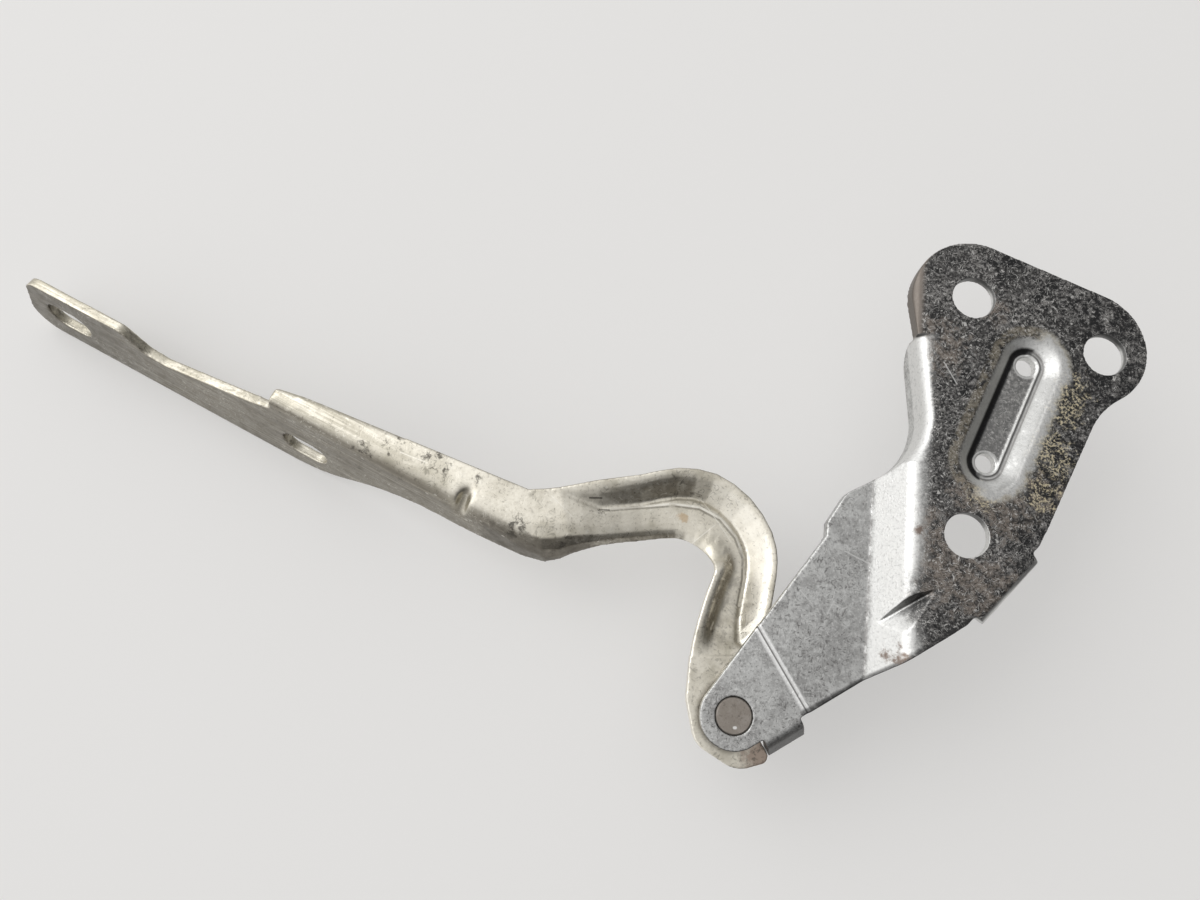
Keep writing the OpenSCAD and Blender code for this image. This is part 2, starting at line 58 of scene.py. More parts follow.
# camera where the photograph was taken from, looking down on the hinge
cameraSettings = {
    "place": (-0.09689, -0.03142, 0.21375),
    "right": (0.9994, -0.0086, 0.0348),
    "up": (0.0, 0.9709, 0.2394),
    "lens": 27.0,
    "sensor": 36.0,
    "nearest": 0.005,
    "farthest": 20.0,
}


def addCamera(settings):
    data = bpy.data.cameras.new("photoCamera")
    data.lens = settings["lens"]
    data.sensor_width = settings["sensor"]
    data.clip_start = settings["nearest"]
    data.clip_end = settings["farthest"]
    camera = bpy.data.objects.new("photoCamera", data)
    scene.collection.objects.link(camera)
    right = Vector(settings["right"]).normalized()
    back = right.cross(Vector(settings["up"])).normalized()
    up = back.cross(right)
    turn = Matrix((right, up, back)).transposed().to_4x4()
    camera.matrix_world = Matrix.Translation(Vector(settings["place"])) @ turn
    scene.camera = camera


addCamera(cameraSettings)
print("camera set")


# node building helpers
def addNode(tree, kind, values=None, **settings):
    made = tree.nodes.new(kind)
    for name, value in settings.items():
        setattr(made, name, value)
    for name, value in (values or {}).items():
        made.inputs[name].default_value = value
    return made


def wire(tree, source, target):
    tree.links.new(source, target)


def newGroup(name, inputs, outputs):
    tree = bpy.data.node_groups.new(name, "ShaderNodeTree")
    for label, kind, value in inputs:
        socket = tree.interface.new_socket(label, in_out="INPUT", socket_type=kind)
        if value is not None:
            socket.default_value = value
    for label in outputs:
        tree.interface.new_socket(label, in_out="OUTPUT", socket_type="NodeSocketFloat")
    return tree, tree.nodes.new("NodeGroupInput"), tree.nodes.new("NodeGroupOutput")


# a group in a material, reading its places or normals from one socket
def useGroup(tree, group, entry, source, values=None):
    made = tree.nodes.new("ShaderNodeGroup")
    made.node_tree = group
    for name, value in (values or {}).items():
        made.inputs[name].default_value = value
    wire(tree, source, made.inputs[entry])
    return made


# smooth step from one value of the source to another
def ramp(tree, source, low, high, lowTo=0.0, highTo=1.0):
    values = {"From Min": low, "From Max": high, "To Min": lowTo, "To Max": highTo}
    made = addNode(tree, "ShaderNodeMapRange", values, interpolation_type="SMOOTHSTEP")
    wire(tree, source, made.inputs["Value"])
    return made.outputs["Result"]


def blendValue(tree, share, low, high):
    made = addNode(tree, "ShaderNodeMapRange", {"To Min": low, "To Max": high})
    wire(tree, share, made.inputs["Value"])
    return made.outputs["Result"]


def maths(tree, operation, a, b=None):
    made = addNode(tree, "ShaderNodeMath", operation=operation)
    for index, value in enumerate((a, b)):
        if value is None:
            continue
        if isinstance(value, (int, float)):
            made.inputs[index].default_value = value
        else:
            wire(tree, value, made.inputs[index])
    return made.outputs[0]


def times(tree, *factors):
    total = factors[0]
    for factor in factors[1:]:
        total = maths(tree, "MULTIPLY", total, factor)
    return total


def plus(tree, a, b):
    return maths(tree, "ADD", a, b)


def larger(tree, a, b):
    return maths(tree, "MAXIMUM", a, b)


def inverse(tree, share):
    return maths(tree, "SUBTRACT", 1.0, share)


# a distance made uneven by a noise
def uneven(tree, source, noise, amount):
    return plus(tree, source, times(tree, maths(tree, "SUBTRACT", noise, 0.5), amount))


# distance along one direction in the plane of the plate
def heading(tree, split, way):
    return plus(tree, times(tree, split["X"], way[0]), times(tree, split["Y"], way[1]))


# one on the line at a distance, falling to nothing at half its width
def bandMask(tree, source, middle, half, sharp=0.4):
    apart = maths(tree, "ABSOLUTE", maths(tree, "SUBTRACT", source, middle))
    return ramp(tree, apart, sharp * half, half, 1.0, 0.0)


# one colour over another, by the product of its shares
def layer(tree, under, over, *shares):
    made = addNode(tree, "ShaderNodeMix", data_type="RGBA")
    for index, value in ((0, times(tree, *shares)), (6, under), (7, over)):
        if isinstance(value, float):
            made.inputs[index].default_value = value
        elif isinstance(value, tuple):
            made.inputs[index].default_value = value + (1.0,)
        else:
            wire(tree, value, made.inputs[index])
    return made.outputs[2]


# thin lines along the levels of a noise
def contourLine(tree, source, levels, width):
    wave = maths(tree, "PINGPONG", times(tree, source, levels), 0.5)
    return ramp(tree, wave, 0.02, width, 1.0, 0.0)


def addNoise(tree, place, scale, **values):
    made = addNode(tree, "ShaderNodeTexNoise", values)
    wire(tree, place, made.inputs["Vector"])
    if isinstance(scale, float):
        made.inputs["Scale"].default_value = scale
    else:
        wire(tree, scale, made.inputs["Scale"])
    return made.outputs["Fac"]


# mottled zinc: clouds, specks, pale curled flecks and dark dashes
def buildZincGrain():
    inputs = [
        ("Vector", "NodeSocketVector", None),
        ("Curl Size", "NodeSocketFloat", 420.0),
        ("Speck Size", "NodeSocketFloat", 1500.0),
    ]
    tree, start, end = newGroup("zincGrain", inputs, ("Cloud", "Mottle", "Speck", "Curl", "Dash", "Height"))
    place = start.outputs["Vector"]
    curlSize = start.outputs["Curl Size"]
    aside = addNode(tree, "ShaderNodeMapping", {"Location": (0.37, 0.11, 0.53)})
    wire(tree, place, aside.inputs["Vector"])
    cloud = addNoise(tree, place, 75.0, Detail=5.0, Roughness=0.6)
    mottle = addNoise(tree, place, 340.0, Detail=5.0, Roughness=0.65)
    speck = addNoise(tree, place, start.outputs["Speck Size"], Detail=4.0, Roughness=0.62)
    gap = addNoise(tree, place, 760.0, Detail=2.0)
    swirl = addNoise(tree, place, curlSize, Detail=1.5, Distortion=0.7)
    second = addNoise(tree, aside.outputs["Vector"], curlSize, Detail=1.5, Distortion=0.7)
    curl = times(tree, contourLine(tree, swirl, 9.0, 0.16), ramp(tree, gap, 0.47, 0.56))
    dash = times(tree, contourLine(tree, second, 7.0, 0.18), ramp(tree, gap, 0.53, 0.44))
    height = plus(tree, times(tree, speck, 0.45), times(tree, mottle, 0.5))
    height = plus(tree, height, times(tree, curl, 0.30))
    height = maths(tree, "SUBTRACT", height, times(tree, dash, 0.30))
    made = {"Cloud": cloud, "Mottle": mottle, "Speck": speck, "Curl": curl, "Dash": dash, "Height": height}
    for label, source in made.items():
        wire(tree, source, end.inputs[label])
    return tree


# a ragged stain around one place
def buildStainPatch():
    inputs = [
        ("Vector", "NodeSocketVector", None),
        ("Centre", "NodeSocketVector", None),
        ("Radius", "NodeSocketFloat", 0.004),
        ("Ragged", "NodeSocketFloat", 0.6),
    ]
    tree, start, end = newGroup("stainPatch", inputs, ("Mask",))
    apart = addNode(tree, "ShaderNodeVectorMath", operation="DISTANCE")
    wire(tree, start.outputs["Vector"], apart.inputs[0])
    wire(tree, start.outputs["Centre"], apart.inputs[1])
    share = maths(tree, "DIVIDE", apart.outputs["Value"], start.outputs["Radius"])
    rough = addNoise(tree, start.outputs["Vector"], 420.0, Detail=5.0, Roughness=0.7)
    wobble = times(tree, maths(tree, "SUBTRACT", rough, 0.5), start.outputs["Ragged"], 3.0)
    wire(tree, ramp(tree, plus(tree, share, wobble), 0.45, 1.0, 1.0, 0.0), end.inputs["Mask"])
    return tree


# painted highlight on the ridges and painted shade in the hollows
def buildEdgeShade():
    inputs = [("Vector", "NodeSocketVector", None), ("Pointiness", "NodeSocketFloat", 0.5)]
    tree, start, end = newGroup("edgeShade", inputs, ("Ridge", "Hollow"))
    broken = addNoise(tree, start.outputs["Vector"], 700.0, Detail=4.0)
    lift = uneven(tree, start.outputs["Pointiness"], broken, 0.06)
    wire(tree, ramp(tree, lift, 0.54, 0.62), end.inputs["Ridge"])
    wire(tree, ramp(tree, lift, 0.38, 0.46, 1.0, 0.0), end.inputs["Hollow"])
    return tree


# which way a surface looks in the hinge's own frame
def buildFacing():
    outputs = ("Front", "Shade", "Back", "Left", "Right", "Flat", "Up")
    tree, start, end = newGroup("facing", [("Normal", "NodeSocketVector", None)], outputs)
    split = tree.nodes.new("ShaderNodeSeparateXYZ")
    wire(tree, start.outputs["Normal"], split.inputs[0])
    x, y, z = (split.outputs[axis] for axis in "XYZ")
    leftward = times(tree, maths(tree, "MINIMUM", x, 0.0), -1.3)
    made = {
        "Front": ramp(tree, y, -0.15, -0.70),
        "Shade": ramp(tree, plus(tree, y, leftward), -0.15, -0.70),  # in front and not to the left
        "Back": ramp(tree, y, 0.30, 0.75),
        "Left": ramp(tree, x, -0.12, -0.45),
        "Right": ramp(tree, x, 0.15, 0.65),
        "Flat": ramp(tree, z, 0.72, 0.93),
        "Up": ramp(tree, z, 0.05, 0.35),
    }
    for label, source in made.items():
        wire(tree, source, end.inputs[label])
    return tree


# a thin mark from one place to another, and the distance from it, seen from above
def buildStrokeMark():
    inputs = [
        ("Vector", "NodeSocketVector", None),
        ("From", "NodeSocketVector", None),
        ("To", "NodeSocketVector", None),
        ("Width", "NodeSocketFloat", 0.0003),
    ]
    tree, start, end = newGroup("strokeMark", inputs, ("Mask", "Apart"))

    def vectors(operation, a, b):
        made = addNode(tree, "ShaderNodeVectorMath", operation=operation)
        wire(tree, a, made.inputs[0])
        if isinstance(b, tuple):
            made.inputs[1].default_value = b
        else:
            wire(tree, b, made.inputs[1])
        return made.outputs

    flat = vectors("MULTIPLY", start.outputs["Vector"], (1.0, 1.0, 0.0))[0]
    reach = vectors("SUBTRACT", start.outputs["To"], start.outputs["From"])[0]
    away = vectors("SUBTRACT", flat, start.outputs["From"])[0]
    onto = vectors("DOT_PRODUCT", away, reach)["Value"]
    share = maths(tree, "DIVIDE", onto, vectors("DOT_PRODUCT", reach, reach)["Value"])
    share = maths(tree, "MINIMUM", larger(tree, share, 0.0), 1.0)
    along = addNode(tree, "ShaderNodeVectorMath", operation="SCALE")
    wire(tree, reach, along.inputs[0])
    wire(tree, share, along.inputs["Scale"])
    apart = vectors("DISTANCE", away, along.outputs[0])["Value"]
    wire(tree, apart, end.inputs["Apart"])
    relative = maths(tree, "DIVIDE", apart, start.outputs["Width"])
    wire(tree, ramp(tree, relative, 0.35, 1.0, 1.0, 0.0), end.inputs["Mask"])
    return tree


zincGrain = buildZincGrain()
stainPatch = buildStainPatch()
edgeShade = buildEdgeShade()
facing = buildFacing()
strokeMark = buildStrokeMark()


def startMaterial(name, metallic, roughness):
    material = bpy.data.materials.new(name)
    material.use_nodes = True
    tree = material.node_tree
    shader = tree.nodes["Principled BSDF"]
    shader.inputs["Metallic"].default_value = metallic
    shader.inputs["Roughness"].default_value = roughness
    return material, tree, shader


def addBump(tree, shader, height, strength, distance):
    bump = addNode(tree, "ShaderNodeBump", {"Strength": strength, "Distance": distance})
    wire(tree, height, bump.inputs["Height"])
    wire(tree, bump.outputs["Normal"], shader.inputs["Normal"])


# places and grain of one piece
def readSurface(tree, grainSizes=None):
    coordinates = tree.nodes.new("ShaderNodeTexCoord").outputs
    place = coordinates["Object"]
    grain = useGroup(tree, zincGrain, "Vector", place, grainSizes).outputs
    return SimpleNamespace(tree=tree, place=place, normal=coordinates["Normal"], grain=grain)


# the same with the edges and the facing of a pressing
def readPressing(tree, grainSizes):
    surface = readSurface(tree, grainSizes)
    edges = useGroup(tree, edgeShade, "Vector", surface.place)
    shape = tree.nodes.new("ShaderNodeNewGeometry")
    wire(tree, shape.outputs["Pointiness"], edges.inputs["Pointiness"])
    split = tree.nodes.new("ShaderNodeSeparateXYZ")
    wire(tree, surface.place, split.inputs[0])
    surface.edges = edges.outputs
    surface.looks = useGroup(tree, facing, "Normal", surface.normal).outputs
    surface.split = split.outputs
    return surface


def patchMask(surface, centre, radius, ragged):
    values = {"Centre": centre, "Radius": radius, "Ragged": ragged}
    return useGroup(surface.tree, stainPatch, "Vector", surface.place, values).outputs["Mask"]


# several stains of one kind as one mask
def patchesMask(surface, patches, ragged):
    total = None
    for centre, radius in patches:
        mask = patchMask(surface, centre, radius, ragged)
        total = mask if total is None else larger(surface.tree, total, mask)
    return total


# marks through rows of places as one mask
def strokesMask(surface, rows, width):
    total = None
    for row in rows:
        for start, end in zip(row, row[1:]):
            values = {"From": start + (0.0,), "To": end + (0.0,), "Width": width}
            mask = useGroup(surface.tree, strokeMark, "Vector", surface.place, values).outputs["Mask"]
            total = mask if total is None else larger(surface.tree, total, mask)
    return total


# distance from a line, seen from above
def lineApart(surface, start, end):
    values = {"From": start, "To": end}
    return useGroup(surface.tree, strokeMark, "Vector", surface.place, values).outputs["Apart"]


# distance from one place, as a very short line
def spotApart(surface, centre, length=0.0001):
    return lineApart(surface, centre, (centre[0] + length, centre[1], centre[2]))


# distance from an upright axis
def axisApart(surface, axis):
    flat = addNode(surface.tree, "ShaderNodeVectorMath", {1: (1.0, 1.0, 0.0)}, operation="MULTIPLY")
    apart = addNode(surface.tree, "ShaderNodeVectorMath", {1: axis}, operation="DISTANCE")
    wire(surface.tree, surface.place, flat.inputs[0])
    wire(surface.tree, flat.outputs[0], apart.inputs[0])
    return apart.outputs["Value"]


# axis of the pivot, in the plane of the mounting face
pivotPlace = (-0.057, -0.042, 0.0)

# warm zinc of the arm: bright on the web, with painted shade where it looks forward or sideways
armFinish = {
    "cleanAndHighlight": (0.87, 0.83, 0.73),
    "dull": (0.68, 0.64, 0.545),
    "cloudy": (0.47, 0.44, 0.36),
    "shadeAndTarnish": (0.215, 0.195, 0.160),
    "grimeAndShade": (0.13, 0.118, 0.098),
    "speck": (0.085, 0.078, 0.066),
    "paleAndHighlight": (0.96, 0.93, 0.85),
    "rust": (0.50, 0.31, 0.12),
    "bare": (0.40, 0.325, 0.27),
    "grainSizes": {"Curl Size": 300.0, "Speck Size": 1300.0},
    "roughness": (0.30, 0.48),
    "bump": (0.28, 0.00012),
    "flangeBump": 0.3,
    "flangeTurn": math.radians(151.4),
    "drawnSize": (0.03, 0.0009, 0.0009),
    # where each zone starts and is full, in metres
    "beadFloor": (-0.0158, -0.0172),
    "beadEnd": (-0.090, -0.082),
    "leftSlopes": (-0.110, -0.095),
    "leftHalf": (-0.088, -0.098),
    "flangeStart": (-0.105, -0.125),
    "stripStart": (-0.120, -0.165),
    "flangeTip": (-0.205, -0.235),
    "lugShade": (0.0096, 0.0080),
    "lugUneven": 0.002,
    # stains by place and radius
    "blotches": [
        ((-0.1311, 0.0233, -0.0135), 0.0040), ((-0.1297, 0.0198, -0.0135), 0.0032),
        ((-0.1104, 0.0047, -0.0150), 0.0036), ((-0.0981, 0.0016, -0.0170), 0.0030),
        ((-0.1194, 0.0169, -0.0135), 0.0014), ((-0.0881, 0.0088, -0.0150), 0.0014),
        ((-0.1420, 0.0260, -0.0135), 0.0030), ((-0.1500, 0.0250, -0.0150), 0.0030),
    ],
    "kinkSpots": [
        ((-0.1060, -0.0020, -0.0200), 0.0120), ((-0.0960, -0.0010, -0.0190), 0.0080),
        ((-0.1150, 0.0010, -0.0190), 0.0090),
    ],
    "grimeSpots": [
        ((-0.0560, -0.0088, -0.0177), 0.0040), ((-0.0580, -0.0139, -0.0177), 0.0044),
        ((-0.0595, -0.0189, -0.0177), 0.0044), ((-0.0604, -0.0239, -0.0177), 0.0042),
        ((-0.0611, -0.0285, -0.0177), 0.0036),
    ],
    "rustSpots": [((-0.0668, 0.0074, -0.0177), 0.0015)],
    "bareSpots": [((-0.0500, -0.0525, -0.0135), 0.0062)],
    "dullSpots": [((-0.1244, 0.0112, -0.0160), 0.0042), ((-0.0605, -0.0012, -0.0165), 0.0060)],
    # marks by the places they run through
    # the pressed line along the bead is painted: a highlight on it and a shadow at its foot
    "ledgeWidth": 0.00045,
    "ledgeHighlight": [[
        (-0.0878, 0.0093), (-0.0789, 0.0103), (-0.0692, 0.0111), (-0.0623, 0.0102), (-0.0569, 0.0072),
        (-0.0530, 0.0023), (-0.0512, -0.0032), (-0.0515, -0.0086), (-0.0531, -0.0153),
    ]],
    "ledgeShadow": [[
        (-0.0878, 0.0089), (-0.0789, 0.0098), (-0.0692, 0.0106), (-0.0626, 0.0097), (-0.0573, 0.0068),
        (-0.0535, 0.0020), (-0.0517, -0.0033), (-0.0520, -0.0086), (-0.0536, -0.0152),
    ]],
    "scratchWidth": 0.00020,
    "scratches": [
        [(-0.0613, 0.0116), (-0.0575, 0.0060), (-0.0545, 0.0010)],
        [(-0.0652, 0.0003), (-0.0585, 0.0055)],
        [(-0.1400, 0.0240), (-0.1330, 0.0212)],
        [(-0.1010, 0.0125), (-0.0955, 0.0070)],
    ],
    "nickWidth": 0.00030,
    "nicks": [[(-0.0912, 0.0122), (-0.0881, 0.0122)], [(-0.0886, 0.0093), (-0.0862, 0.0092)]],
}


# noise drawn out along the flange
def drawnNoise(surface, finish):
    tree = surface.tree
    values = {"Rotation": (0.0, 0.0, finish["flangeTurn"]), "Scale": finish["drawnSize"]}
    along = addNode(tree, "ShaderNodeMapping", values, vector_type="TEXTURE")
    wire(tree, surface.place, along.inputs["Vector"])
    return addNoise(tree, along.outputs["Vector"], 1.0, Detail=4.0, Roughness=0.6)


# clean web, duller in the floor of the bead, with a painted highlight on slopes that look left
def armWebLayers(surface, finish):
    tree, grain, split = surface.tree, surface.grain, surface.split
    colour = layer(tree, finish["cleanAndHighlight"], finish["dull"], ramp(tree, grain["Cloud"], 0.42, 0.68))
    beadFloor = ramp(tree, split["Z"], *finish["beadFloor"])
    colour = layer(tree, colour, finish["dull"], beadFloor, ramp(tree, split["X"], *finish["beadEnd"]), 0.40)
    colour = layer(tree, colour, finish["dull"], ramp(tree, grain["Speck"], 0.42, 0.62), 0.45)
    patchy = ramp(tree, grain["Mottle"], 0.42, 0.62, 0.2, 0.8)
    colour = layer(tree, colour, finish["cloudy"], ramp(tree, grain["Cloud"], 0.50, 0.66), patchy)
    # painted highlight: pale colour on slopes that look left, towards the light
    leftSlopes = ramp(tree, split["X"], *finish["leftSlopes"])
    return layer(tree, colour, finish["paleAndHighlight"], surface.looks["Left"], leftSlopes, 0.5)


# painted shade on what looks forward or right, on steep sides that look forward and on edges that look back,
# and painted shade round the lug
def armTarnishLayers(surface, finish, colour, front, forward, flange):
    tree, grain, looks = surface.tree, surface.grain, surface.looks
    mottled = ramp(tree, grain["Mottle"], 0.25, 0.60, 0.55, 0.95)
    even = plus(tree, times(tree, mottled, inverse(tree, flange)), times(tree, flange, 0.84))
    # painted shade on what looks forward or right
    colour = layer(tree, colour, finish["shadeAndTarnish"], forward, even)
    # painted shade on steep sides that look forward
    colour = layer(tree, colour, finish["grimeAndShade"], inverse(tree, looks["Up"]), front, 0.75)
    # painted shade on edges that look back
    colour = layer(tree, colour, finish["shadeAndTarnish"], looks["Back"], 0.65)
    # painted shade round the lug
    nearLug = uneven(tree, spotApart(surface, pivotPlace), grain["Mottle"], finish["lugUneven"])
    return layer(tree, colour, finish["shadeAndTarnish"], ramp(tree, nearLug, *finish["lugShade"], 0.0, 0.55))


# drawing lines along the flange, its dark tip and its greyer upper edge
def armFlangeLayers(surface, finish, colour, flange):
    tree, split = surface.tree, surface.split
    drawn = drawnNoise(surface, finish)
    colour = layer(tree, colour, finish["grimeAndShade"], flange, ramp(tree, drawn, 0.46, 0.64), 0.30)
    colour = layer(tree, colour, finish["dull"], flange, ramp(tree, drawn, 0.48, 0.34), 0.22)
    colour = layer(tree, colour, finish["grimeAndShade"], flange, ramp(tree, split["X"], *finish["flangeTip"]), 0.55)
    upper = times(tree, ramp(tree, split["X"], *finish["stripStart"]), inverse(tree, surface.looks["Front"]))
    return layer(tree, colour, finish["cloudy"], upper, ramp(tree, drawn, 0.38, 0.58, 0.25, 1.0))


# specks and stains; the dark specks are denser where the sheet looks forward or right, adding painted shade
# there, with painted shade in the hollows and a painted highlight on the ridges
def armStainLayers(surface, finish, colour, front, forward, flange):
    tree, grain, edges = surface.tree, surface.grain, surface.edges
    cloud, mottle, speck = grain["Cloud"], grain["Mottle"], grain["Speck"]
    # dark specks crowd where the sheet looks forward or right, which adds painted shade there
    crowd = times(tree, blendValue(tree, forward, 0.38, 0.75), blendValue(tree, flange, 1.0, 0.5))
    colour = layer(tree, colour, finish["speck"], grain["Dash"], crowd, ramp(tree, cloud, 0.44, 0.58))
    colour = layer(tree, colour, finish["speck"], ramp(tree, speck, 0.60, 0.70), crowd)
    colour = layer(tree, colour, finish["paleAndHighlight"], grain["Curl"], ramp(tree, cloud, 0.56, 0.44), 0.35)
    grimy = patchesMask(surface, finish["grimeSpots"], 0.7)
    colour = layer(tree, colour, finish["grimeAndShade"], grimy, ramp(tree, mottle, 0.60, 0.46, 0.05, 0.35))
    # darker patches at the kink, only where it looks forward: partly painted shade
    colour = layer(tree, colour, finish["grimeAndShade"], patchesMask(surface, finish["kinkSpots"], 0.6), front, 0.75)
    blotched = patchesMask(surface, finish["blotches"], 1.0)
    colour = layer(tree, colour, finish["speck"], blotched, ramp(tree, mottle, 0.46, 0.55), 0.85)
    colour = layer(tree, colour, finish["rust"], patchesMask(surface, finish["rustSpots"], 1.0), 0.5)
    bare = layer(tree, finish["bare"], finish["grimeAndShade"], ramp(tree, speck, 0.50, 0.62), 0.7)
    colour = layer(tree, colour, bare, patchesMask(surface, finish["bareSpots"], 0.4))
    # painted shade in the hollows
    colour = layer(tree, colour, finish["grimeAndShade"], edges["Hollow"], 0.75)
    # painted highlight on the ridges
    colour = layer(tree, colour, finish["paleAndHighlight"], edges["Ridge"], 0.35)
    return layer(tree, colour, finish["cloudy"], patchesMask(surface, finish["dullSpots"], 0.3), 0.55)


# painted highlight and painted shadow of a pressed line along the bead, scratches and nicks
def armMarkLayers(surface, finish, colour):
    tree, up = surface.tree, surface.looks["Up"]
    broken = ramp(tree, surface.grain["Mottle"], 0.36, 0.50, 0.35, 1.0)
    # painted shadow at the foot of the pressed line
    foot = strokesMask(surface, finish["ledgeShadow"], finish["ledgeWidth"])
    colour = layer(tree, colour, finish["shadeAndTarnish"], foot, up, broken, 0.65)
    # painted highlight along the pressed line
    ledgeHighlight = strokesMask(surface, finish["ledgeHighlight"], finish["ledgeWidth"])
    colour = layer(tree, colour, finish["paleAndHighlight"], ledgeHighlight, up, broken, 0.8)
    scratched = strokesMask(surface, finish["scratches"], finish["scratchWidth"])
    colour = layer(tree, colour, finish["paleAndHighlight"], scratched, up, 0.5)
    nicked = strokesMask(surface, finish["nicks"], finish["nickWidth"])
    return layer(tree, colour, finish["speck"], nicked, up, broken, 0.85)


def makeArmFinish(finish):
    material, tree, shader = startMaterial("armZincFinish", 1.0, 0.36)
    surface = readPressing(tree, finish["grainSizes"])
    grain, looks, split = surface.grain, surface.looks, surface.split
    leftHalf = ramp(tree, split["X"], *finish["leftHalf"])
    front = larger(tree, looks["Shade"], times(tree, looks["Front"], leftHalf))
    forward = larger(tree, front, looks["Right"])
    flange = times(tree, ramp(tree, split["X"], *finish["flangeStart"]), looks["Front"])
    colour = armWebLayers(surface, finish)
    colour = armTarnishLayers(surface, finish, colour, front, forward, flange)
    colour = armFlangeLayers(surface, finish, colour, flange)
    colour = armStainLayers(surface, finish, colour, front, forward, flange)
    colour = armMarkLayers(surface, finish, colour)
    wire(tree, colour, shader.inputs["Base Color"])
    wire(tree, ramp(tree, grain["Mottle"], 0.35, 0.70, *finish["roughness"]), shader.inputs["Roughness"])
    height = times(tree, grain["Height"], blendValue(tree, flange, 1.0, finish["flangeBump"]))
    addBump(tree, shader, height, *finish["bump"])
    return material


